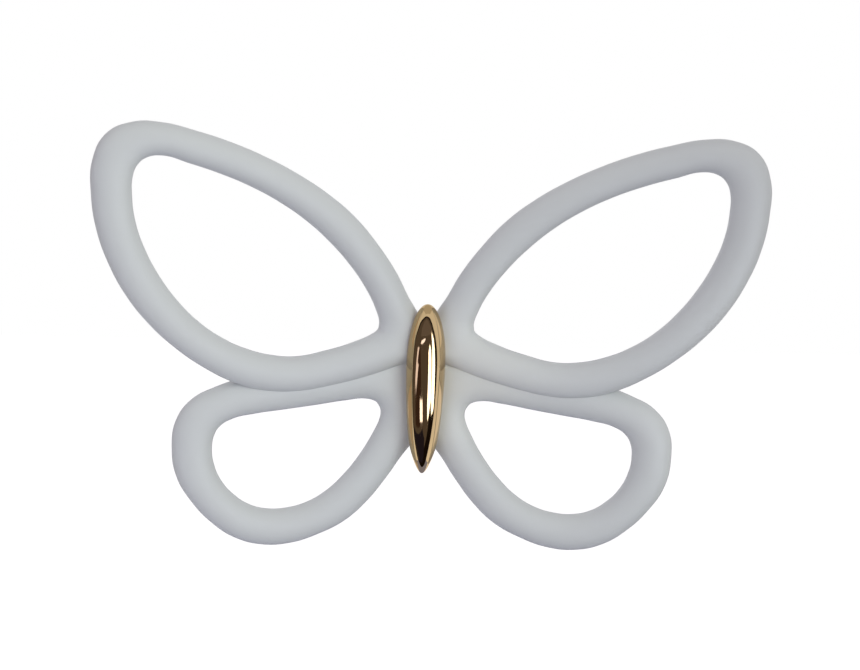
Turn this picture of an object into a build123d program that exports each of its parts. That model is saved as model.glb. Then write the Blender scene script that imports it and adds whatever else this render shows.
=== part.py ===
from build123d import *
from math import cos, radians, sin, tan
import os

# A butterfly for the wall: four open wing loops, clamped at their roots between a gold body and a hidden saddle.
# X is to the right as seen from the front, Z is up, the wall is the plane Y = 0 and the front faces -Y.
# The origin is the middle of the wall pin's socket, where it opens on the wall.
# A depth is a distance in front of the wall. A level is a distance in front of the hindwings' backs.

# Wings: span, lean towards the viewer, and how far the pin's socket is above the height of the lap
wing_span = 160.0
wing_lean_degrees = 11.4
pin_rise = 12.0

# Wing section, and the lap of the forewing over the hindwing
fore_thickness = 5.0
hind_thickness = 4.8
crown_radius = 3.6
back_edge = 0.7
lap_floor = 1.9
lap_gap = 0.1
butt_gap = 0.1

# Saddle behind the wing roots, with two round feet on the wall
foot_height = 5.0
foot_radius = 3.7
foot_spacing = 18.5
foot_edge = 0.4
saddle_floor = 2.0
seat_gap = 0.05

# Wall pin's socket, with a narrower seat for the screw's head at its bottom
socket_radius = 2.3
socket_depth = 4.3
head_gap = 0.15

# Pegs on the saddle that keep the wings from sliding outwards
peg_radius = 1.25
peg_height = 1.6
peg_reach = 6.6
peg_pad_radius = 2.2
peg_gap = 0.1
fore_peg_rise = 13.2
hind_peg_rise = -2.0

# Clamp screws, driven from the wall's side
screw_radius = 1.0
screw_length = 9.0
screw_gap = 0.15
head_radius = 1.85
head_height = 1.3
head_edge = 0.35
recess_length = 2.2
recess_width = 0.55
recess_depth = 0.7

# Body: a spindle that lies in the V of the wings, hollow over the saddle, with a boss for each screw
body_length = 43.0
body_width = 9.7
body_tip_rise = 22.4
body_wall = 1.3
boss_radius = 2.1
boss_gap = 0.3
pilot_gap = 0.05
pilot_spare = 1.2

# The crown is never wider than half the narrowest band, nor deeper than this share of the wing
crown_band_share = 0.0455
crown_depth_share = 0.76

# Outlines of the wings, as shares of one wing's reach, from the centre line outwards and from the lap upwards.
# The smooth curve through the points is drawn as arcs, in pairs that join at these shares of the curve.
forewing_edge_shares = [
    (0.000, 0.206), (0.035, 0.243), (0.066, 0.297), (0.105, 0.368), (0.150, 0.432), (0.219, 0.516),
    (0.371, 0.635), (0.539, 0.721), (0.718, 0.782), (0.801, 0.800), (0.888, 0.799), (0.961, 0.762),
    (1.000, 0.630), (0.975, 0.458), (0.898, 0.294), (0.773, 0.153), (0.630, 0.055), (0.535, 0.017),
    (0.427, 0.002), (0.325, 0.013), (0.186, 0.044), (0.080, 0.078), (0.000, 0.100),
]
# The last of them are on the part of the edge that lies on the hindwing.
lap_joint_shares = [0.516, 0.740, 0.804, 0.909, 1]
forewing_edge_joint_shares = [0, 0.051, 0.203, 0.360, 0.431, *lap_joint_shares]
forewing_hole_shares = [
    (0.669, 0.201), (0.756, 0.286), (0.833, 0.404), (0.875, 0.520), (0.884, 0.600), (0.868, 0.680),
    (0.825, 0.706), (0.764, 0.697), (0.634, 0.656), (0.500, 0.596), (0.413, 0.543), (0.319, 0.467),
    (0.245, 0.387), (0.178, 0.287), (0.151, 0.222), (0.148, 0.201), (0.153, 0.185), (0.170, 0.172),
    (0.208, 0.155), (0.252, 0.142), (0.382, 0.110), (0.474, 0.114), (0.552, 0.136),
]
forewing_hole_joint_shares = [0, 0.031, 0.209, 0.280, 0.311, 0.669, 0.720, 0.764, 0.816, 1]
hindwing_edge_shares = [
    (0.000, 0.114), (0.147, 0.103), (0.294, 0.078), (0.405, 0.068), (0.515, 0.053), (0.588, 0.031),
    (0.674, 0.002), (0.719, -0.028), (0.757, -0.080), (0.770, -0.150), (0.766, -0.227), (0.692, -0.365),
    (0.574, -0.461), (0.452, -0.487), (0.336, -0.464), (0.219, -0.403), (0.131, -0.310), (0.078, -0.237),
    (0.044, -0.188), (0.000, -0.147),
]
hindwing_edge_joint_shares = [0, 0.178, 0.277, 0.348, 0.520, 0.698, 0.790, 0.942, 1]
hindwing_hole_shares = [
    (0.162, -0.038), (0.142, -0.055), (0.134, -0.082), (0.140, -0.108), (0.172, -0.172), (0.235, -0.262),
    (0.303, -0.326), (0.392, -0.368), (0.446, -0.374), (0.506, -0.368), (0.561, -0.341), (0.608, -0.297),
    (0.640, -0.238), (0.651, -0.170), (0.630, -0.107), (0.576, -0.079), (0.500, -0.067), (0.392, -0.054),
    (0.259, -0.038), (0.202, -0.032),
]
hindwing_hole_joint_shares = [0, 0.116, 0.286, 0.515, 0.685, 0.734, 0.944, 1]

# Side of the body, as shares of its half width and of its length down from the upper tip
body_side_shares = [
    (0.51, 0.047), (0.72, 0.105), (0.95, 0.240), (1.00, 0.335), (0.905, 0.570), (0.86, 0.690),
    (0.60, 0.875), (0.25, 0.970),
]
body_side_joint_shares = [0, 0.103, 0.440, 0.970, 1]
# The hollow in the body's back, which leaves the wall everywhere: its length and its start as shares of the body's
# length, its half width and its reach in front of the axis as shares of the radius inside the wall
hollow_length_share = 0.62
hollow_start_share = 0.15
hollow_width_share = 0.8
hollow_reach_share = 0.6

lean_cos = cos(radians(wing_lean_degrees))
lean_sin = sin(radians(wing_lean_degrees))
lean_tan = tan(radians(wing_lean_degrees))
wing_reach = wing_span / 2 / lean_cos
lap_height = -pin_rise
root_depth = foot_height + saddle_floor + seat_gap
fore_back_level = lap_floor + lap_gap
fore_front_level = fore_back_level + fore_thickness
body_axis_depth = root_depth + fore_front_level / lean_cos + body_width / 2 * lean_tan
body_front_depth = body_axis_depth + body_width / 2
body_top = lap_height + body_tip_rise
screw_seat_depth = socket_depth + head_height
screw_tip_depth = screw_seat_depth + screw_length
saddle_half_width = peg_reach + peg_pad_radius
saddle_high = max(foot_radius, lap_height + fore_peg_rise + peg_pad_radius)
saddle_low = -foot_spacing - foot_radius
saddle_step = lap_height + hindwing_edge_shares[0][1] * wing_reach + lap_gap
screw_places = [(0, 0), (0, -foot_spacing)]
fore_peg_places = [(side * peg_reach, lap_height + fore_peg_rise) for side in (-1, 1)]
hind_peg_places = [(side * peg_reach, lap_height + hind_peg_rise) for side in (-1, 1)]
centre_plane = Plane.YZ.offset(butt_gap / 2)
wall_side = Plane(origin=(0, 0, 0), x_dir=(-1, 0, 0), z_dir=(0, 1, 0))
body_axis = Axis((0, -body_axis_depth, 0), (0, 0, 1))


def wing_depth(level, across):
    """Depth of the wings' V at a level, at a distance from the centre line."""
    return root_depth + level / lean_cos + across * lean_tan


def facing(depth):
    """Plane that faces the viewer at a depth."""
    return Plane.XZ.offset(depth)


def wing_plane(level):
    """Plane of the right wing at a level, with its first axis outwards from the centre and its second upwards."""
    return Plane(
        origin=(0, -wing_depth(level, 0), lap_height),
        x_dir=(lean_cos, -lean_sin, 0),
        z_dir=(-lean_sin, -lean_cos, 0),
    )


def on_wing(shares):
    """Points on a wing's plane, from shares of its reach."""
    return [(across * wing_reach, up * wing_reach) for across, up in shares]


def arc_pair(start, start_way, end, end_way):
    """Two arcs that meet smoothly, between two points with the directions there."""
    chord = end - start
    along = chord.dot(start_way + end_way)
    bend = 2 * (1 - start_way.dot(end_way))
    arm = chord.dot(chord) / (along + (along**2 + bend * chord.dot(chord)) ** 0.5)
    joint = (start + end + (start_way - end_way) * arm) / 2
    first = TangentArc(start, joint, tangent=start_way)
    TangentArc(joint, end, tangent=first % 1)


def smooth_arcs(guide, joint_shares):
    """Arcs along a smooth curve, each tangent to the next, so that every face made from them is exact."""
    for start, end in zip(joint_shares, joint_shares[1:]):
        arc_pair(guide @ start, guide % start, guide @ end, guide % end)


def wing_slab(edge_shares, edge_joint_shares, back_level, thickness):
    """A wing's outline as a plain slab, cut square on the centre line."""
    with BuildPart() as slab:
        with BuildSketch(wing_plane(back_level)):
            with BuildLine():
                edge = Spline(*on_wing(edge_shares), mode=Mode.PRIVATE)
                smooth_arcs(edge, edge_joint_shares)
                Line(edge @ 1, edge @ 0)
            make_face()
        extrude(amount=thickness)
    return slab.part


def wing_blank(edge_shares, edge_joint_shares, hole_shares, hole_joint_shares, back_level, thickness):
    """One open loop with a crowned front."""
    wing_axis = Axis((0, -root_depth, lap_height), wing_plane(back_level).z_dir)
    crown = min(crown_radius, crown_band_share * wing_reach, crown_depth_share * thickness)
    with BuildPart() as blank:
        add(wing_slab(edge_shares, edge_joint_shares, back_level, thickness))
        with BuildSketch(wing_plane(back_level)):
            with BuildLine():
                hole = Spline(*on_wing(hole_shares), periodic=True, mode=Mode.PRIVATE)
                smooth_arcs(hole, hole_joint_shares)
            make_face()
        extrude(amount=thickness, mode=Mode.SUBTRACT)
        front = blank.faces().filter_by(wing_axis).sort_by(wing_axis)[-1]
        fillet(front.edges().filter_by(GeomType.CIRCLE), radius=crown)
        back = blank.faces().filter_by(wing_axis).sort_by(wing_axis)[0]
        chamfer(back.edges().filter_by(GeomType.CIRCLE), length=back_edge)
    return blank.part


def peg_tip_depth(level):
    """Depth of the tip of a peg that enters a wing whose back is at a level."""
    return wing_depth(level, peg_reach) + peg_height


# Right forewing, cut on the centre line, with a half-round notch for the body's boss and a hole for its peg
with BuildPart() as right_forewing:
    add(wing_blank(
        forewing_edge_shares, forewing_edge_joint_shares, forewing_hole_shares, forewing_hole_joint_shares,
        fore_back_level, fore_thickness,
    ))
    split(bisect_by=centre_plane, keep=Keep.TOP)
    with BuildSketch(facing(0)):
        Circle(boss_radius + boss_gap)
    extrude(amount=body_front_depth, mode=Mode.SUBTRACT)
    with BuildSketch(facing(0)):
        with Locations((peg_reach, lap_height + fore_peg_rise)):
            Circle(peg_radius + peg_gap)
    extrude(amount=peg_tip_depth(fore_back_level) + peg_gap, mode=Mode.SUBTRACT)

# Right hindwing, set back, and rebated where the forewing lies on it
with BuildPart() as right_hindwing:
    add(wing_blank(
        hindwing_edge_shares, hindwing_edge_joint_shares, hindwing_hole_shares, hindwing_hole_joint_shares,
        0, hind_thickness,
    ))
    with BuildSketch(wing_plane(lap_floor)):
        with BuildLine():
            lowered = [(across, up - lap_gap) for across, up in on_wing(forewing_edge_shares)]
            lap_edge = Spline(*lowered, mode=Mode.PRIVATE)
            smooth_arcs(lap_edge, lap_joint_shares)
            lap_top = lap_edge @ lap_joint_shares[0]
            Polyline(lap_edge @ 1, (0, lap_top.Y), lap_top)
        make_face()
    extrude(amount=hind_thickness, mode=Mode.SUBTRACT)
    split(bisect_by=centre_plane, keep=Keep.TOP)
    with BuildSketch(facing(0)):
        with Locations((0, -foot_spacing)):
            Circle(boss_radius + boss_gap)
    extrude(amount=body_front_depth, mode=Mode.SUBTRACT)
    with BuildSketch(facing(0)):
        with Locations((peg_reach, lap_height + hind_peg_rise)):
            Circle(peg_radius + peg_gap)
    extrude(amount=peg_tip_depth(0) + peg_gap, mode=Mode.SUBTRACT)

# The left wings mirror the right ones
with BuildPart() as left_forewing:
    mirror(right_forewing.part, about=Plane.YZ)

with BuildPart() as left_hindwing:
    mirror(right_hindwing.part, about=Plane.YZ)

# Body: a spindle seated on the wings, hollowed from behind, with a bored boss for each screw
with BuildPart() as body_shell:
    with BuildSketch(Plane.YZ):
        with BuildLine():
            side = Spline(
                (-body_axis_depth, body_top),
                *[(out * body_width / 2 - body_axis_depth, body_top - down * body_length)
                  for out, down in body_side_shares],
                (-body_axis_depth, body_top - body_length),
                tangents=((1, 0), (-1, 0)),
                tangent_scalars=(1, 1),
                mode=Mode.PRIVATE,
            )
            smooth_arcs(side, body_side_joint_shares)
            Line(side @ 1, side @ 0)
        make_face()
    revolve(axis=body_axis)
    for seat in (
        wing_slab(forewing_edge_shares, forewing_edge_joint_shares, fore_back_level, fore_thickness + seat_gap),
        wing_slab(hindwing_edge_shares, hindwing_edge_joint_shares, 0, hind_thickness + seat_gap),
    ):
        add(seat, mode=Mode.SUBTRACT)
        mirror(seat, about=Plane.YZ, mode=Mode.SUBTRACT)
    inner_radius = body_width / 2 - body_wall
    hollow_length = hollow_length_share * body_length
    hollow_middle = body_top - hollow_start_share * body_length - hollow_length / 2
    with BuildSketch(facing(0)):
        with Locations((0, hollow_middle)):
            SlotOverall(hollow_length, 2 * hollow_width_share * inner_radius, rotation=90)
    extrude(amount=body_axis_depth + hollow_reach_share * inner_radius, mode=Mode.SUBTRACT)
    for level, height in ((fore_back_level, 0), (0, -foot_spacing)):
        boss_start = wing_depth(level, boss_radius) + boss_gap
        with BuildSketch(facing(boss_start)):
            with Locations((0, height)):
                Circle(boss_radius)
        extrude(amount=body_front_depth - body_wall - boss_start)
        with BuildSketch(facing(boss_start)):
            with Locations((0, height)):
                Circle(screw_radius + pilot_gap)
        extrude(amount=screw_tip_depth + pilot_spare - boss_start, mode=Mode.SUBTRACT)

# The block that the saddle is cut from: everything between the wall and the wings' backs
with BuildPart() as seat_block:
    for level, low, high in ((0, saddle_low, saddle_high), (fore_back_level, saddle_step, saddle_high)):
        middle = seat_gap - wing_depth(level, 0)
        side = seat_gap - wing_depth(level, saddle_half_width)
        with BuildSketch(Plane.XY.offset(low)):
            with BuildLine():
                Polyline(
                    (0, middle), (saddle_half_width, side), (saddle_half_width, 0),
                    (-saddle_half_width, 0), (-saddle_half_width, side), close=True,
                )
            make_face()
        extrude(amount=high - low)

# Saddle: one plate round all feet and pegs, with the wings' V in its front
with BuildPart() as saddle_plate:
    with BuildSketch(facing(foot_height)):
        with Locations(*screw_places):
            Circle(foot_radius)
        with Locations(*fore_peg_places, *hind_peg_places):
            Circle(peg_pad_radius)
        make_hull(mode=Mode.REPLACE)
    extrude(amount=body_front_depth)
    add(seat_block.part, mode=Mode.INTERSECT)
    with BuildSketch(facing(0)):
        with Locations(*screw_places):
            Circle(foot_radius)
    extrude(amount=foot_height)
    chamfer(saddle_plate.faces().sort_by(Axis.Y)[-2:].edges(), length=foot_edge)
    for level, places in ((fore_back_level, fore_peg_places), (0, hind_peg_places)):
        with BuildSketch(facing(foot_height)):
            with Locations(*places):
                Circle(peg_radius)
        extrude(amount=peg_tip_depth(level) - foot_height)
    with Locations(Location(wall_side)):
        with Locations(*screw_places):
            CounterBoreHole(
                radius=screw_radius + screw_gap,
                counter_bore_radius=head_radius + head_gap,
                counter_bore_depth=screw_seat_depth,
                depth=body_front_depth,
            )
            Hole(radius=socket_radius, depth=socket_depth)

# Clamp screws, with a pan head and a cross recess
with BuildPart() as clamp_screws:
    with BuildSketch(facing(socket_depth)):
        with Locations(*screw_places):
            Circle(head_radius)
    extrude(amount=head_height)
    chamfer(clamp_screws.edges().group_by(Axis.Y)[-1], length=head_edge)
    with BuildSketch(facing(screw_seat_depth)):
        with Locations(*screw_places):
            Circle(screw_radius)
    extrude(amount=screw_length)
    with BuildSketch(facing(socket_depth)):
        with Locations(*screw_places):
            Rectangle(recess_length, recess_width)
            Rectangle(recess_width, recess_length)
    extrude(amount=recess_depth, mode=Mode.SUBTRACT)

pieces = {
    "left_forewing": left_forewing,
    "right_forewing": right_forewing,
    "left_hindwing": left_hindwing,
    "right_hindwing": right_hindwing,
    "body_shell": body_shell,
    "saddle_plate": saddle_plate,
    "clamp_screws": clamp_screws,
}

os.makedirs("parts", exist_ok=True)
for name, piece in pieces.items():
    piece.part.label = name
    export_step(piece.part, f"parts/{name}.step")
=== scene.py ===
"""Dresses the butterfly wall ornament: four moulded wing loops, a polished gold body and the hidden fittings."""

from math import cos, radians, sin, sqrt

import bmesh
import bpy
from mathutils import Matrix, Vector


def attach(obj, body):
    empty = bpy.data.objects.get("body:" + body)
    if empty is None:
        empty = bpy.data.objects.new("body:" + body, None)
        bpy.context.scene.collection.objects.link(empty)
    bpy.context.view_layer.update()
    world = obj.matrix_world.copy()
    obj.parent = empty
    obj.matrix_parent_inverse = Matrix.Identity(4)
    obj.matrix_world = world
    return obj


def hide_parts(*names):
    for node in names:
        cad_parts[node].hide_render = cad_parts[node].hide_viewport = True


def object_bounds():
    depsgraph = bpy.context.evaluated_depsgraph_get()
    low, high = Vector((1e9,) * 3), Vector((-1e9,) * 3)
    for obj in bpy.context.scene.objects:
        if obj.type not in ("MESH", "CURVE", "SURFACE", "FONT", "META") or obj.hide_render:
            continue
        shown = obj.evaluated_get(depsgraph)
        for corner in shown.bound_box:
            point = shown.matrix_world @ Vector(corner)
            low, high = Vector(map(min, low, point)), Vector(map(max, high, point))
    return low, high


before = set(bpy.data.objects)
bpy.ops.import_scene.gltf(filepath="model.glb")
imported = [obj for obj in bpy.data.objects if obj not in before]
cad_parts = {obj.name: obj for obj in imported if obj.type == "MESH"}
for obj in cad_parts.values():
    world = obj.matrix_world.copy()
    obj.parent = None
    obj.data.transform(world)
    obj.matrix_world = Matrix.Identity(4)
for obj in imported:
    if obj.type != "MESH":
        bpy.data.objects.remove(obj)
cad_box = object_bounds()

bl_info = {
    "name": "Butterfly Wall Ornament",
    "version": (1, 0, 0),
    "blender": (4, 5, 0),
    "location": "View3D > Sidebar > Butterfly",
    "description": "Builds a moulded wing-loop butterfly with a polished gold body",
    "category": "Add Mesh",
}

# How finely the shapes are drawn: steps between two points of a line, faces across a wing's crown, steps of the
# body's full turn and faces round an eased edge.
LINE_STEPS = 14
CROWN_FACES = 24
TURN_STEPS = 96
EASED_FACES = 4
# Points closer than the first are one point, edges shorter than the second close up, in metres. Edges that bend
# more than the last stay sharp in the shading.
SAME_POINT = 1e-7
SLIVER = 1e-6
SHARP_BEND = radians(35)
# The colour sockets of a Mix node: both inputs and the result
MIX_FIRST = 6
MIX_SECOND = 7
MIX_RESULT = 2

# Each row is one station round a wing loop: across and up on the outer edge, then across and up on the opening's
# edge, as shares of the wing's reach. The loop closes beyond the centre line and is cut there.
FOREWING_STATIONS = [
    (0.000, 0.206, 0.148, 0.209), (0.052, 0.271, 0.158, 0.244), (0.103, 0.364, 0.192, 0.312),
    (0.164, 0.451, 0.245, 0.387), (0.233, 0.530, 0.307, 0.455), (0.314, 0.597, 0.376, 0.516),
    (0.403, 0.654, 0.454, 0.570), (0.498, 0.703, 0.539, 0.616), (0.597, 0.744, 0.630, 0.654),
    (0.701, 0.777, 0.724, 0.685), (0.799, 0.800, 0.798, 0.706), (0.883, 0.800, 0.843, 0.700),
    (0.955, 0.767, 0.868, 0.680), (0.994, 0.693, 0.881, 0.650), (0.999, 0.595, 0.884, 0.593),
    (0.984, 0.490, 0.874, 0.515), (0.950, 0.391, 0.847, 0.435), (0.901, 0.299, 0.807, 0.358),
    (0.837, 0.216, 0.756, 0.286), (0.762, 0.144, 0.695, 0.222), (0.678, 0.083, 0.625, 0.171),
    (0.587, 0.035, 0.549, 0.135), (0.489, 0.007, 0.472, 0.114), (0.390, 0.004, 0.395, 0.109),
    (0.288, 0.020, 0.310, 0.125), (0.179, 0.046, 0.222, 0.150), (0.072, 0.080, 0.167, 0.174),
    (-0.009, 0.100, 0.153, 0.185), (-0.070, 0.127, 0.150, 0.190), (-0.064, 0.185, 0.149, 0.196),
]
HINDWING_STATIONS = [
    (0.000, 0.114, 0.145, -0.051), (0.090, 0.111, 0.153, -0.043), (0.175, 0.098, 0.183, -0.033),
    (0.264, 0.082, 0.252, -0.037), (0.359, 0.072, 0.345, -0.049), (0.457, 0.063, 0.439, -0.060),
    (0.551, 0.043, 0.525, -0.070), (0.640, 0.015, 0.593, -0.084), (0.711, -0.021, 0.629, -0.106),
    (0.758, -0.083, 0.645, -0.133), (0.771, -0.171, 0.651, -0.174), (0.757, -0.260, 0.644, -0.225),
    (0.713, -0.338, 0.621, -0.278), (0.653, -0.406, 0.581, -0.325), (0.581, -0.458, 0.533, -0.358),
    (0.498, -0.484, 0.481, -0.373), (0.408, -0.483, 0.421, -0.373), (0.321, -0.458, 0.360, -0.358),
    (0.239, -0.418, 0.302, -0.326), (0.170, -0.357, 0.250, -0.279), (0.111, -0.283, 0.200, -0.217),
    (0.057, -0.206, 0.158, -0.147), (0.006, -0.151, 0.137, -0.100), (-0.051, -0.117, 0.134, -0.077),
    (-0.079, -0.035, 0.137, -0.065), (-0.065, 0.060, 0.141, -0.057),
]
# Control points of the body's side from the upper to the lower tip: share of the half width, share of the length
# down from the top. They pull a smooth line towards them, so the mirror finish shows no break.
BODY_SIDE = [(0.0, 0.0), (0.28, 0.0), (0.769, 0.08), (1.065, 0.297), (0.92, 0.615), (0.756, 0.861), (0.188, 1.0),
             (0.0, 1.0)]
# The middle of the ornament, which the lamps point at, and the middle of the body, round which the cards stand
ORNAMENT_MIDDLE = (0, -0.015, 0)
BODY_MIDDLE = (0, -0.015, -0.011)
# Lamps that light the ornament but aren't mirrored in the gold: kind, place and target in metres, watts, tint, and
# the soft box's side or the snoot's cone
LAMPS = {
    "key_from_upper_right": ("AREA", (0.50, -0.66, 0.42), ORNAMENT_MIDDLE, 3.5, (0.93, 1.0, 0.90), {"size": 0.6}),
    "fill_from_lower_left": ("AREA", (-0.22, -0.28, -0.14), ORNAMENT_MIDDLE, 0.22, (0.84, 0.87, 1.0), {
        "size": 0.2}),
    "fill_from_front": ("AREA", (-0.04, -0.36, 0.10), ORNAMENT_MIDDLE, 0.08, (0.95, 0.97, 1.0), {"size": 0.2}),
    "fill_from_behind": ("AREA", (-0.30, 0.90, 0.35), ORNAMENT_MIDDLE, 2.8, (0.97, 0.98, 1.0), {"size": 0.8}),
    "snoot_on_right_root": ("SPOT", (0.06, -0.20, 0.02), (0.009, -0.014, -0.010), 0.17, (1.0, 0.90, 0.58), {
        "spot_size": radians(12), "spot_blend": 1.0, "shadow_soft_size": 0.01}),
}
# A flag between the key lamp and the right wing's tip: place, target and side in metres
TIP_FLAG = ((0.142, -0.110, 0.100), (0.080, -0.02, 0.047), 0.06)
# The photo's view: place in metres, turn in degrees, focal length and sensor width in millimetres
CAMERA_PLACE = (-0.02288, -0.408447, 0.087651)
CAMERA_TURN = (77.8268, -2.1094, -2.9863)
CAMERA_LENS = 68.889
CAMERA_SENSOR = 36
# Studio cards that only reflections see: how far each stands from the body in metres, its brightness, and its
# corners as a bearing and a rise in degrees, seen from the body. A bearing of 0 is straight ahead of the ornament
# and a rise of 0 is level with it.
CARDS = {
    "warm_card_left": (0.46, (0.60, 0.53, 0.46), [(-128, -52), (-90, -52), (-90, 42), (-128, 42)]),
    "grey_card_above": (0.75, (0.68, 0.66, 0.62), [
        (-150, 46), (-90, 46), (-30, 46), (30, 46), (90, 46), (150, 46)]),
    "grey_card_below": (0.64, (0.34, 0.38, 0.62), [
        (-150, -46), (-90, -46), (-30, -46), (30, -46), (90, -46), (150, -46)]),
    "flag_edge": (0.455, (0.012, 0.008, 0.006), [
        (-20, 41.5), (26, 35.5), (39, 25), (48, 15.5), (55, 8.5), (60, 2.1), (64, -4), (66.5, -11), (67.5, -16),
        (67.5, -19), (66, -20.5), (60, -25), (54, -34.6), (52, -46.6), (48, -56), (-66, -53), (-71, -36.7),
        (-79, -24.8), (-84, -20), (-85, -18), (-85, -14), (-84.5, -8), (-83.5, -1), (-80, 5.5), (-74, 12.6),
        (-67, 21.5), (-49, 32)]),
    "flag": (0.44, (0.125, 0.105, 0.098), [
        (-12.5, 39.5), (15, 34), (30, 24), (40, 15.5), (48, 8.6), (53, 2.9), (57, -3.5), (59.5, -11),
        (60.5, -16), (60.5, -19.3), (59, -20.8), (53, -25.6), (46, -35), (39, -47), (30, -57), (-53.7, -53),
        (-62, -37.7), (-73, -25), (-79.5, -20.6), (-81.5, -18), (-82, -14.6), (-80.5, -7.3), (-79, 0), (-74, 6.8),
        (-66, 14), (-57, 22.5), (-38, 32)]),
    "flag_dark_side": (0.43, (0.060, 0.034, 0.026), [
        (-40.6, 2.2), (-20.7, -25), (-58.7, -24.5), (-62.7, -19), (-57.6, -12), (-54, -2)]),
    "flag_low": (0.42, (0.022, 0.018, 0.034), [
        (-74, -23.8), (-4, -25), (7, -32), (10, -48), (3, -57.6), (-45.8, -54), (-58.7, -39)]),
    "flag_pale_top": (0.43, (0.19, 0.165, 0.17), [
        (-11, 36), (8, 31.5), (27, 20), (33, 12.8), (-2, 11.7), (-42, 9.4), (-42, 18.4), (-29, 30)]),
    "strip_right_wide": (0.40, (4.6, 4.8, 5.4), [
        (29, 15.9), (42, 7.6), (48, -1.9), (54, -15.2), (57.5, -19.4), (58, -21), (45.5, -22.2), (40, -19.9),
        (36, -15.4), (33, -1.2), (31, 6.7)]),
    "strip_right_tall": (0.40, (4.6, 4.8, 5.4), [
        (17.5, 3.9), (25.5, -0.8), (32, -15.4), (36.5, -20), (43, -22.3), (22, -23.9), (15.5, -21.1),
        (14, -15.5), (11, -2)]),
    "strip_left_thin": (0.40, (1.5, 1.4, 1.8), [
        (-56, 0), (-46.7, 0.6), (-45.4, -10), (-52.3, -16.4), (-58.3, -19), (-64.7, -18.9), (-57.8, -15.5),
        (-52.3, -8.7)]),
    "strip_low_short": (0.40, (3.0, 3.0, 3.8), [(-32, -20.1), (-16, -20.2), (-10, -24.3), (-28, -24.1)]),
    "spot_high": (0.40, (2.4, 2.4, 3.2), [
        (-38, 3.5), (-36.2, 5.9), (-13.4, 9.5), (-10.5, 8.6), (-17.2, 5.8), (-31.5, 3.6)]),
}


def linear(hex_code):
    """An sRGB hex colour as Blender's linear values."""
    def channel(start):
        value = int(hex_code[start:start + 2], 16) / 255
        return value / 12.92 if value <= 0.04045 else ((value + 0.055) / 1.055) ** 2.4
    return channel(1), channel(3), channel(5)


def length(name, description, millimetres):
    """A setting that is a real size."""
    return bpy.props.FloatProperty(name=name, description=description, default=millimetres / 1000,
                                   unit="LENGTH", precision=4)


def colour(name, description, hex_code):
    """A setting that is a colour."""
    return bpy.props.FloatVectorProperty(name=name, description=description, default=linear(hex_code),
                                         subtype="COLOR", min=0, max=1)


class WingSettings(bpy.types.PropertyGroup):
    """Sizes and colour of the four wing loops."""
    reach: length("Reach", "From the centre line to the wing tip, in the wing's own plane", 81.5)
    lean: bpy.props.FloatProperty(name="Lean", description="How far each wing turns towards the viewer",
                                  default=radians(11.4), unit="ROTATION")
    root_depth: length("Root depth", "From the wall to the hindwings' back at the centre line", 7.05)
    height: length("Height", "Height of the wings' centre against the hanging socket", -12)
    fore_back: length("Forewing back", "How far the forewings' back stands in front of the hindwings' back", 2.0)
    fore_thickness: length("Forewing thickness", "Front to back through the forewing's crown", 5.0)
    hind_thickness: length("Hindwing thickness", "Front to back through the hindwing's crown", 4.8)
    crown_depth: length("Crown depth", "How far the rounded front falls from its middle to its edge", 3.6)
    crown_reach: length("Crown reach", "How far from an edge the rounded front rises to its full height", 5.2)
    lap_gap: length("Lap gap", "Clearance between a forewing's back and what it lies on", 0.05)
    back_edge: length("Back edge", "Rounding of the edges at the back", 0.6)
    centre_gap: length("Centre gap", "Clearance from each wing's root to the centre line", 0.05)
    root_overrun: length("Root overrun", "How far a forewing's room is cut past the centre line", 0.4)
    plastic: colour("Plastic", "Moulded white of the wings", "#D3D7D8")


class BodySettings(bpy.types.PropertyGroup):
    """Sizes and colour of the gold body."""
    length: length("Length", "From the lower tip to the upper tip", 43.0)
    width: length("Width", "Across the widest part", 9.7)
    top: length("Top", "Height of the upper tip against the hanging socket", 10.4)
    axis_depth: length("Axis depth", "From the wall to the body's long axis", 15.17)
    gold: colour("Gold", "Polished gold plating", "#C2A87F")


class StageSettings(bpy.types.PropertyGroup):
    """Colours, light and distances of the stage."""
    floor_drop: length("Floor drop", "How far the floor lies under the ornament", 620)
    floor_size: length("Floor size", "Side of the square floor", 6000)
    floor: colour("Floor", "Pale floor", "#C4C4C4")
    floor_lift: bpy.props.FloatProperty(name="Floor lift", description="Light that lifts the lit floor to white",
                                        default=0.85, subtype="FACTOR")
    walls: bpy.props.FloatVectorProperty(name="Walls", description="Soft light from the studio's walls",
                                         default=(0.448, 0.419, 0.451), subtype="COLOR")


def add_node(tree, kind, settings=None, **links):
    """Adds a node, gives its sockets or attributes the settings, and links other nodes' outputs to its inputs."""
    node = tree.nodes.new(kind)
    for name, value in (settings or {}).items():
        if name in node.inputs:
            node.inputs[name].default_value = value
        else:
            setattr(node, name, value)
    for name, source in links.items():
        target = int(name[1:]) if name.startswith("_") else name.replace("__", " ")
        tree.links.new(source, node.inputs[target])
    return node


def new_material(name):
    """An empty node material and its tree."""
    material = bpy.data.materials.new(name)
    material.use_nodes = True
    material.node_tree.nodes.clear()
    return material, material.node_tree


def features(millimetres):
    """A noise texture's scale for features of this real size."""
    return 1000 / millimetres


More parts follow.
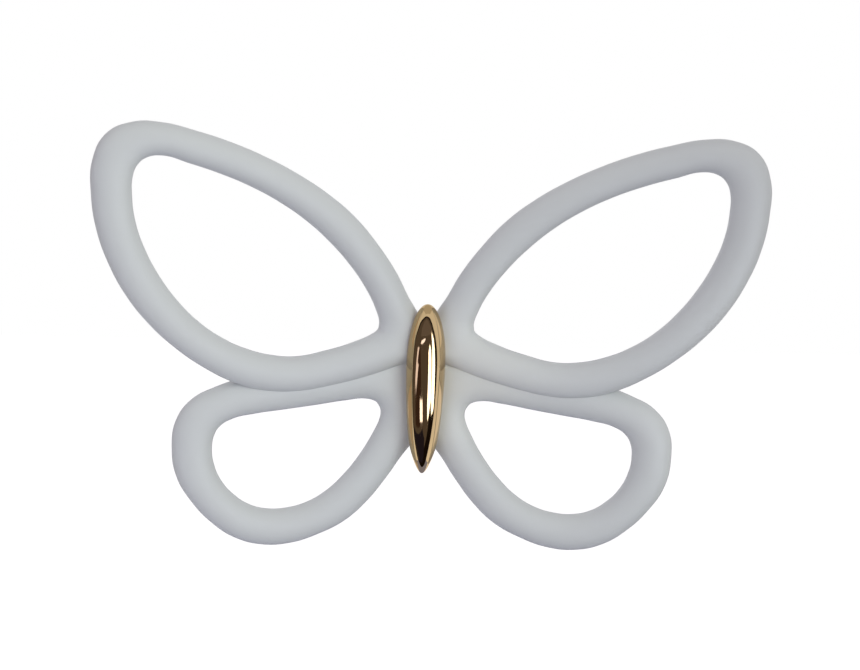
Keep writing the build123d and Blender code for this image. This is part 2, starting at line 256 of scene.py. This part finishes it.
def moulded_plastic(name, tint, roughness, texture_mm):
    """Satin injection-moulded ABS: a fine spark-eroded texture breaks up the sheen, and long low waves from
    shrinkage as it cools move its tone slightly. The texture is drawn as coarse as it needs to show."""
    wave_mm, tone_spread = 22, 0.015
    smoother, rougher = 0.04, 0.05
    material, tree = new_material(name)
    place = add_node(tree, "ShaderNodeTexCoord")
    grain = add_node(tree, "ShaderNodeTexNoise", {"Scale": features(texture_mm), "Detail": 3.0, "Roughness": 0.6},
                     Vector=place.outputs["Object"])
    waves = add_node(tree, "ShaderNodeTexNoise", {"Scale": features(wave_mm), "Detail": 2.0, "Roughness": 0.5},
                     Vector=place.outputs["Object"])
    tone = add_node(tree, "ShaderNodeMix", {"data_type": "RGBA"}, Factor=waves.outputs["Fac"])
    tone.inputs[MIX_FIRST].default_value = (*[part * (1 - tone_spread) for part in tint], 1)
    tone.inputs[MIX_SECOND].default_value = (*[min(part * (1 + tone_spread), 1) for part in tint], 1)
    sheen = add_node(tree, "ShaderNodeMapRange", {"From Min": 0.3, "From Max": 0.7, "To Min": roughness - smoother,
                                                  "To Max": roughness + rougher}, Value=grain.outputs["Fac"])
    skin = add_node(tree, "ShaderNodeBump", {"Strength": 0.12, "Distance": 0.00004}, Height=grain.outputs["Fac"])
    shader = add_node(tree, "ShaderNodeBsdfPrincipled", {"IOR": 1.53}, Base__Color=tone.outputs[MIX_RESULT],
                      Roughness=sheen.outputs["Result"], Normal=skin.outputs["Normal"])
    add_node(tree, "ShaderNodeOutputMaterial", Surface=shader.outputs["BSDF"])
    return material


def gold_plating(name, tint):
    """Bright gold plating on a polished moulding: mirror smooth, with the faint haze and hairlines that wiping
    leaves, and a very slight waviness from the moulding under it."""
    hairline_mm, haze_mm = 0.25, 6
    along_body = (1.0, 1.0, 0.06)
    material, tree = new_material(name)
    place = add_node(tree, "ShaderNodeTexCoord")
    drawn = add_node(tree, "ShaderNodeMapping", {"Scale": along_body}, Vector=place.outputs["Object"])
    hairlines = add_node(tree, "ShaderNodeTexNoise", {"Scale": features(hairline_mm), "Detail": 4.0,
                                                      "Roughness": 0.7}, Vector=drawn.outputs["Vector"])
    haze = add_node(tree, "ShaderNodeTexNoise", {"Scale": features(haze_mm), "Detail": 2.0},
                    Vector=place.outputs["Object"])
    cloud = add_node(tree, "ShaderNodeMapRange", {"From Min": 0.35, "From Max": 0.7, "To Min": 0.03,
                                                  "To Max": 0.06}, Value=haze.outputs["Fac"])
    wave = add_node(tree, "ShaderNodeBump", {"Strength": 0.06, "Distance": 0.0001}, Height=haze.outputs["Fac"])
    skin = add_node(tree, "ShaderNodeBump", {"Strength": 0.03, "Distance": 0.00002},
                    Height=hairlines.outputs["Fac"], Normal=wave.outputs["Normal"])
    shader = add_node(tree, "ShaderNodeBsdfPrincipled", {"Base Color": (*tint, 1), "Metallic": 1.0},
                      Roughness=cloud.outputs["Result"], Normal=skin.outputs["Normal"])
    add_node(tree, "ShaderNodeOutputMaterial", Surface=shader.outputs["BSDF"])
    return material


def zinc_plated_steel(name):
    """Zinc-plated steel screws: grey with a faint blue cast, fine mottling and soft highlights."""
    mottle_mm = 0.5
    material, tree = new_material(name)
    place = add_node(tree, "ShaderNodeTexCoord")
    mottle = add_node(tree, "ShaderNodeTexNoise", {"Scale": features(mottle_mm), "Detail": 3.0},
                      Vector=place.outputs["Object"])
    tone = add_node(tree, "ShaderNodeMix", {"data_type": "RGBA"}, Factor=mottle.outputs["Fac"])
    tone.inputs[MIX_FIRST].default_value = (*linear("#9BA0A6"), 1)
    tone.inputs[MIX_SECOND].default_value = (*linear("#B7BBC0"), 1)
    cloud = add_node(tree, "ShaderNodeMapRange", {"From Min": 0.3, "From Max": 0.7, "To Min": 0.26, "To Max": 0.4},
                     Value=mottle.outputs["Fac"])
    shader = add_node(tree, "ShaderNodeBsdfPrincipled", {"Metallic": 1.0}, Base__Color=tone.outputs[MIX_RESULT],
                      Roughness=cloud.outputs["Result"])
    add_node(tree, "ShaderNodeOutputMaterial", Surface=shader.outputs["BSDF"])
    return material


def add_line(bm, points, closed):
    """Adds one smooth line of edges: a closed one runs through its points, an open one is pulled towards them."""
    curve = bpy.data.curves.new("line", "CURVE")
    curve.dimensions = "3D"
    curve.resolution_u = LINE_STEPS
    spline = curve.splines.new("BEZIER" if closed else "NURBS")
    if closed:
        spline.bezier_points.add(len(points) - 1)
        spline.use_cyclic_u = True
        for knot, point in zip(spline.bezier_points, points):
            knot.co = point
            knot.handle_left_type = knot.handle_right_type = "AUTO"
    else:
        spline.points.add(len(points) - 1)
        spline.order_u = 4  # cubic
        spline.use_endpoint_u = True
        for knot, point in zip(spline.points, points):
            knot.co = (*point, 1)
    holder = bpy.data.objects.new("line", curve)
    line = bpy.data.meshes.new_from_object(holder)
    bpy.data.objects.remove(holder)
    bpy.data.curves.remove(curve)
    bm.from_mesh(line)
    bpy.data.meshes.remove(line)


def fill_cut(bm, place, facing):
    """Cuts off what lies behind a plane and closes the cut."""
    cut = bmesh.ops.bisect_plane(bm, geom=bm.verts[:] + bm.edges[:] + bm.faces[:], dist=SAME_POINT, plane_co=place,
                                 plane_no=facing, clear_inner=True)
    rim = [item for item in cut["geom_cut"] if isinstance(item, bmesh.types.BMEdge)]
    bmesh.ops.contextual_create(bm, geom=rim)


def flat_band(stations, reach):
    """A flat band between a loop's outer edge and its opening. Each point keeps both ends of the spoke that it
    lies on, and its share of the way along it."""
    bm = bmesh.new()
    add_line(bm, [(across * reach, up * reach, 0) for across, up, _, _ in stations], closed=True)
    add_line(bm, [(across * reach, up * reach, 0) for _, _, across, up in stations], closed=True)
    share = bm.verts.layers.float.new("share")
    ends = [bm.verts.layers.float_vector.new(name) for name in ("outer_end", "hole_end")]
    bm.verts.index_update()
    spokes = bmesh.ops.bridge_loops(bm, edges=bm.edges[:])["edges"]
    for spoke in spokes:
        outer, hole = sorted(spoke.verts, key=lambda vert: vert.index)
        for vert, place in ((outer, 0), (hole, 1)):
            vert[share] = place
            vert[ends[0]], vert[ends[1]] = outer.co, hole.co
    bmesh.ops.subdivide_edges(bm, edges=spokes, cuts=CROWN_FACES - 1, use_grid_fill=True)
    return bm


def roll_crown(bm, wings, thickness):
    """Lifts the band to the wing's front, which falls away in a quarter ellipse towards both edges."""
    share = bm.verts.layers.float["share"]
    ends = [bm.verts.layers.float_vector[name] for name in ("outer_end", "hole_end")]
    side = thickness - wings.crown_depth
    for vert in bm.verts:
        outer, hole = (Vector(vert[end]) for end in ends)
        half = (hole - outer) / 2
        turn = radians(180) * vert[share]
        roll = min(half.length, wings.crown_reach)
        inwards = min(half.length * (1 - abs(cos(turn))), roll)
        vert.co = outer + half * (1 - cos(turn))
        vert.co.z = side + wings.crown_depth * sqrt(max(1 - (1 - inwards / roll) ** 2, 0))


def close_back(bm, wings):
    """Draws both edges back to the wing's flat back, closes it and eases its edges."""
    rims = bmesh.ops.extrude_edge_only(bm, edges=[edge for edge in bm.edges if edge.is_boundary])["geom"]
    for vert in (item for item in rims if isinstance(item, bmesh.types.BMVert)):
        vert.co.z = 0
    rims = [item for item in rims if isinstance(item, bmesh.types.BMEdge)]
    bmesh.ops.bridge_loops(bm, edges=rims)
    bmesh.ops.bevel(bm, geom=rims, offset=wings.back_edge, offset_type="OFFSET", segments=EASED_FACES, profile=0.5,
                    affect="EDGES", material=-1, clamp_overlap=False)


def wing_band(wings, stations, back, thickness, past_centre=0):
    """One right-hand wing loop: a closed band, flat behind and rounded in front, leaned towards the viewer and cut
    near the centre line."""
    bm = flat_band(stations, wings.reach)
    roll_crown(bm, wings, thickness)
    close_back(bm, wings)
    # The band is drawn flat with its front up. It is stood up, leaned and moved to its depth and height.
    turn, tilt = cos(wings.lean), sin(wings.lean)
    depth = wings.root_depth + back / turn
    bm.transform(Matrix(((turn, 0, -tilt, 0), (-tilt, 0, -turn, -depth), (0, 1, 0, wings.height), (0, 0, 0, 1))))
    fill_cut(bm, (wings.centre_gap - past_centre, 0, 0), (1, 0, 0))
    return bm


def take_out(bm, cutters):
    """Cuts the room for each cutter's shape out of the piece, so that pieces meet and don't run through each
    other."""
    holders = []
    for shape in (bm, *cutters):
        bmesh.ops.remove_doubles(shape, verts=shape.verts, dist=SAME_POINT)
        bmesh.ops.recalc_face_normals(shape, faces=shape.faces)
        mesh = bpy.data.meshes.new("blank")
        shape.to_mesh(mesh)
        holders.append(bpy.data.objects.new("blank", mesh))
        bpy.context.collection.objects.link(holders[-1])
    for holder in holders[1:]:
        cut = holders[0].modifiers.new("cut", "BOOLEAN")
        cut.operation = "DIFFERENCE"
        cut.solver = "EXACT"
        cut.object = holder
    bm.clear()
    bm.from_object(holders[0], bpy.context.evaluated_depsgraph_get())
    bmesh.ops.dissolve_degenerate(bm, edges=bm.edges, dist=SLIVER)
    for holder in holders:
        bpy.data.meshes.remove(holder.data)
    for cutter in cutters:
        cutter.free()


def forewing_room(wings, side):
    """The room that a forewing takes up in the pieces it lies on, with a hair of clearance behind it. It runs a
    little past the centre line, so no skin is left at the roots."""
    room = wing_band(wings, FOREWING_STATIONS, wings.fore_back - wings.lap_gap,
                     wings.fore_thickness + wings.lap_gap, wings.root_overrun)
    bmesh.ops.scale(room, vec=(side, 1, 1), verts=room.verts)
    return room


def write_object(bm, name, material):
    """Writes a shape to a new object at the origin."""
    mesh = bpy.data.meshes.new(name)
    bm.to_mesh(mesh)
    bm.free()
    mesh.materials.append(material)
    holder = bpy.data.objects.new(name, mesh)
    bpy.context.collection.objects.link(holder)
    return holder


def finish_piece(bm, name, material):
    """Writes a piece with smooth shading that stops at real corners."""
    bmesh.ops.remove_doubles(bm, verts=bm.verts, dist=SAME_POINT)
    bmesh.ops.recalc_face_normals(bm, faces=bm.faces)
    for face in bm.faces:
        face.smooth = True
    for edge in bm.edges:
        edge.smooth = not (edge.is_manifold and edge.calc_face_angle() > SHARP_BEND)
    return write_object(bm, name, material)


def wing_pair(wings, kind, stations, back, thickness, material):
    """The right-hand loop and its mirrored partner, each in place of its node."""
    for side in ("right", "left"):
        bm = wing_band(wings, stations, back, thickness)
        if kind == "hindwing":
            take_out(bm, [forewing_room(wings, 1)])
        if side == "left":
            bmesh.ops.scale(bm, vec=(-1, 1, 1), verts=bm.verts)
        piece = finish_piece(bm, f"{side}_{kind}_loop", material)
        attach(piece, "root")
        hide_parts(f"{side}_{kind}")


class BUTTERFLY_OT_forewings(bpy.types.Operator):
    """Add the two forewing loops"""
    bl_idname = "butterfly.forewings"
    bl_label = "Forewings"

    def execute(self, context):
        wings = context.scene.butterfly_wings
        plastic = moulded_plastic("satin_white_abs_forewings", wings.plastic, roughness=0.58, texture_mm=0.35)
        wing_pair(wings, "forewing", FOREWING_STATIONS, wings.fore_back, wings.fore_thickness, plastic)
        return {"FINISHED"}


class BUTTERFLY_OT_hindwings(bpy.types.Operator):
    """Add the two hindwing loops"""
    bl_idname = "butterfly.hindwings"
    bl_label = "Hindwings"

    def execute(self, context):
        wings = context.scene.butterfly_wings
        plastic = moulded_plastic("satin_white_abs_hindwings", wings.plastic, roughness=0.58, texture_mm=0.35)
        wing_pair(wings, "hindwing", HINDWING_STATIONS, 0, wings.hind_thickness, plastic)
        return {"FINISHED"}


class BUTTERFLY_OT_body(bpy.types.Operator):
    """Add the polished gold body"""
    bl_idname = "butterfly.body"
    bl_label = "Body"

    def execute(self, context):
        wings = context.scene.butterfly_wings
        shape = context.scene.butterfly_body
        bm = bmesh.new()
        add_line(bm, [(across * shape.width / 2, -shape.axis_depth, shape.top - down * shape.length)
                      for across, down in BODY_SIDE], closed=False)
        bmesh.ops.spin(bm, geom=bm.verts[:] + bm.edges[:], cent=(0, -shape.axis_depth, 0), axis=(0, 0, 1),
                       angle=radians(360), steps=TURN_STEPS, use_merge=True)
        bmesh.ops.remove_doubles(bm, verts=bm.verts, dist=SLIVER)
        bmesh.ops.recalc_face_normals(bm, faces=bm.faces)
        seat = wings.root_depth + wings.hind_thickness / cos(wings.lean)
        for side in (1, -1):
            fill_cut(bm, (0, -seat, 0), (-side * sin(wings.lean), -cos(wings.lean), 0))
        take_out(bm, [forewing_room(wings, side) for side in (1, -1)])
        piece = finish_piece(bm, "gold_spindle_body", gold_plating("polished_gold_plating", shape.gold))
        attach(piece, "root")
        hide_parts("body_shell")
        return {"FINISHED"}


class BUTTERFLY_OT_fittings(bpy.types.Operator):
    """Finish the saddle plate and its two screws, whose shapes are right as they are"""
    bl_idname = "butterfly.fittings"
    bl_label = "Fittings"

    def execute(self, context):
        wings = context.scene.butterfly_wings
        for node, material in (
            ("saddle_plate", moulded_plastic("satin_white_abs_saddle", wings.plastic, roughness=0.62,
                                             texture_mm=0.5)),
            ("clamp_screws", zinc_plated_steel("zinc_plated_steel")),
        ):
            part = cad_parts[node]
            part.data.materials.clear()
            part.data.materials.append(material)
        return {"FINISHED"}


def aim(holder, place, target):
    """Stands a lamp or a flag at its place and turns it to its target."""
    holder.location = place
    holder.rotation_mode = "QUATERNION"
    holder.rotation_quaternion = (Vector(target) - Vector(place)).to_track_quat("-Z", "Y")


def hide_from(holder, *rays):
    """Leaves an object out of what these kinds of ray see."""
    for ray in rays:
        setattr(holder, f"visible_{ray}", False)


def hang_lamp(name, kind, place, target, watts, tint, shape):
    """A lamp that lights the ornament but isn't mirrored in the gold: a square soft box or a narrow snoot."""
    lamp = bpy.data.lights.new(name, kind)
    lamp.energy, lamp.color = watts, tint
    for setting, value in shape.items():
        setattr(lamp, setting, value)
    holder = bpy.data.objects.new(name, lamp)
    aim(holder, place, target)
    hide_from(holder, "camera", "glossy")
    bpy.context.collection.objects.link(holder)


def light_flag(name, place, target, side):
    """A small dark flag that only lamps meet: it keeps part of their light off what it is aimed at."""
    bm = bmesh.new()
    bmesh.ops.create_grid(bm, x_segments=1, y_segments=1, size=side / 2)
    material, tree = new_material(name)
    cloth = add_node(tree, "ShaderNodeBsdfDiffuse", {"Color": (0.02, 0.02, 0.02, 1)})
    add_node(tree, "ShaderNodeOutputMaterial", Surface=cloth.outputs[0])
    flag = write_object(bm, name, material)
    aim(flag, place, target)
    hide_from(flag, "camera", "diffuse", "glossy", "transmission", "volume_scatter")


def white_rays(tree):
    """A node output that is 1 for the rays to which the studio's floor and walls look white: those of the camera,
    of mirrors and of glass."""
    rays = add_node(tree, "ShaderNodeLightPath")
    seen = add_node(tree, "ShaderNodeMath", {"operation": "MAXIMUM"}, _0=rays.outputs["Is Camera Ray"],
                    _1=rays.outputs["Is Glossy Ray"])
    return add_node(tree, "ShaderNodeMath", {"operation": "MAXIMUM"}, _0=seen.outputs[0],
                    _1=rays.outputs["Is Transmission Ray"]).outputs[0]


def stage_floor(stage):
    """A plain pale floor. Camera, mirror and glass see it lifted to white where it is lit, so it keeps the
    ornament's shadow."""
    low, _ = cad_box
    bm = bmesh.new()
    bmesh.ops.create_grid(bm, x_segments=1, y_segments=1, size=stage.floor_size / 2)
    bmesh.ops.translate(bm, vec=(0, 0, low[2] - stage.floor_drop), verts=bm.verts)
    material, tree = new_material("pale_paper_floor")
    lifted = white_rays(tree)
    paper = add_node(tree, "ShaderNodeBsdfDiffuse", {"Color": (*stage.floor, 1)})
    glow = add_node(tree, "ShaderNodeEmission", {"Strength": stage.floor_lift})
    both = add_node(tree, "ShaderNodeAddShader", _0=paper.outputs[0], _1=glow.outputs[0])
    pick = add_node(tree, "ShaderNodeMixShader", _0=lifted, _1=paper.outputs[0], _2=both.outputs[0])
    add_node(tree, "ShaderNodeOutputMaterial", Surface=pick.outputs[0])
    floor = write_object(bm, "floor", material)


def direction(bearing, rise):
    """The unit vector of a bearing and a rise in degrees."""
    bearing, rise = radians(bearing), radians(rise)
    return Vector((sin(bearing) * cos(rise), -cos(bearing) * cos(rise), sin(rise)))


def card(name, distance, brightness, corners):
    """A flat studio card that only reflections see, with its corners in given directions from the body."""
    ways = [direction(bearing, rise) for bearing, rise in corners]
    facing = sum(ways, Vector()).normalized()
    bm = bmesh.new()
    bmesh.ops.contextual_create(bm, geom=[
        bm.verts.new(Vector(BODY_MIDDLE) + way * distance / way.dot(facing)) for way in ways])
    material, tree = new_material(name)
    glow = add_node(tree, "ShaderNodeEmission", {"Color": (*brightness, 1), "Strength": 1.0})
    add_node(tree, "ShaderNodeOutputMaterial", Surface=glow.outputs[0])
    piece = write_object(bm, name, material)
    hide_from(piece, "camera", "diffuse", "shadow", "transmission", "volume_scatter")


def studio_walls(scene, tone):
    """Even light from all round, which camera, mirror and glass see as white."""
    world = bpy.data.worlds.new("studio")
    scene.world = world
    world.use_nodes = True
    tree = world.node_tree
    tree.nodes.clear()
    mix = add_node(tree, "ShaderNodeMix", {"data_type": "RGBA"}, Factor=white_rays(tree))
    mix.inputs[MIX_FIRST].default_value = (*tone, 1)
    mix.inputs[MIX_SECOND].default_value = (1, 1, 1, 1)
    light = add_node(tree, "ShaderNodeBackground", Color=mix.outputs[MIX_RESULT])
    add_node(tree, "ShaderNodeOutputWorld", Surface=light.outputs[0])


def photo_camera(scene):
    """The camera at the photo's angle and distance."""
    lens = bpy.data.cameras.new("photo_view")
    lens.sensor_fit = "HORIZONTAL"
    lens.sensor_width = CAMERA_SENSOR
    lens.lens = CAMERA_LENS
    lens.clip_start = 0.01
    camera = bpy.data.objects.new("photo_view", lens)
    camera.location = CAMERA_PLACE
    camera.rotation_euler = [radians(turn) for turn in CAMERA_TURN]
    scene.collection.objects.link(camera)
    scene.camera = camera


class BUTTERFLY_OT_stage(bpy.types.Operator):
    """Add the floor, the soft light, the cards and the camera"""
    bl_idname = "butterfly.stage"
    bl_label = "Stage"

    def execute(self, context):
        scene = context.scene
        stage = scene.butterfly_stage
        stage_floor(stage)
        for name, lamp in LAMPS.items():
            hang_lamp(name, *lamp)
        light_flag("light_flag_right_tip", *TIP_FLAG)
        for name, (distance, brightness, corners) in CARDS.items():
            card(name, distance, brightness, corners)
        studio_walls(scene, stage.walls)
        photo_camera(scene)
        scene.view_settings.view_transform = "Standard"
        return {"FINISHED"}


class BUTTERFLY_PT_panel(bpy.types.Panel):
    """Sizes, colours and steps of the butterfly ornament"""
    bl_idname = "BUTTERFLY_PT_panel"
    bl_label = "Butterfly"
    bl_space_type = "VIEW_3D"
    bl_region_type = "UI"
    bl_category = "Butterfly"

    def draw(self, context):
        for settings, steps in (
            (context.scene.butterfly_wings, (BUTTERFLY_OT_forewings, BUTTERFLY_OT_hindwings)),
            (context.scene.butterfly_body, (BUTTERFLY_OT_body, BUTTERFLY_OT_fittings)),
            (context.scene.butterfly_stage, (BUTTERFLY_OT_stage,)),
        ):
            box = self.layout.box()
            for name in settings.bl_rna.properties.keys():
                if name not in ("rna_type", "name"):
                    box.prop(settings, name)
            for step in steps:
                box.operator(step.bl_idname)


CLASSES = (WingSettings, BodySettings, StageSettings, BUTTERFLY_OT_forewings, BUTTERFLY_OT_hindwings,
           BUTTERFLY_OT_body, BUTTERFLY_OT_fittings, BUTTERFLY_OT_stage, BUTTERFLY_PT_panel)


def register():
    for kind in CLASSES:
        bpy.utils.register_class(kind)
    bpy.types.Scene.butterfly_wings = bpy.props.PointerProperty(type=WingSettings)
    bpy.types.Scene.butterfly_body = bpy.props.PointerProperty(type=BodySettings)
    bpy.types.Scene.butterfly_stage = bpy.props.PointerProperty(type=StageSettings)


def unregister():
    for settings in ("butterfly_wings", "butterfly_body", "butterfly_stage"):
        delattr(bpy.types.Scene, settings)
    for kind in reversed(CLASSES):
        bpy.utils.unregister_class(kind)


def main():
    register()
    bpy.ops.butterfly.forewings()
    bpy.ops.butterfly.hindwings()
    bpy.ops.butterfly.body()
    bpy.ops.butterfly.fittings()
    bpy.ops.butterfly.stage()


if __name__ == "__main__":
    main()
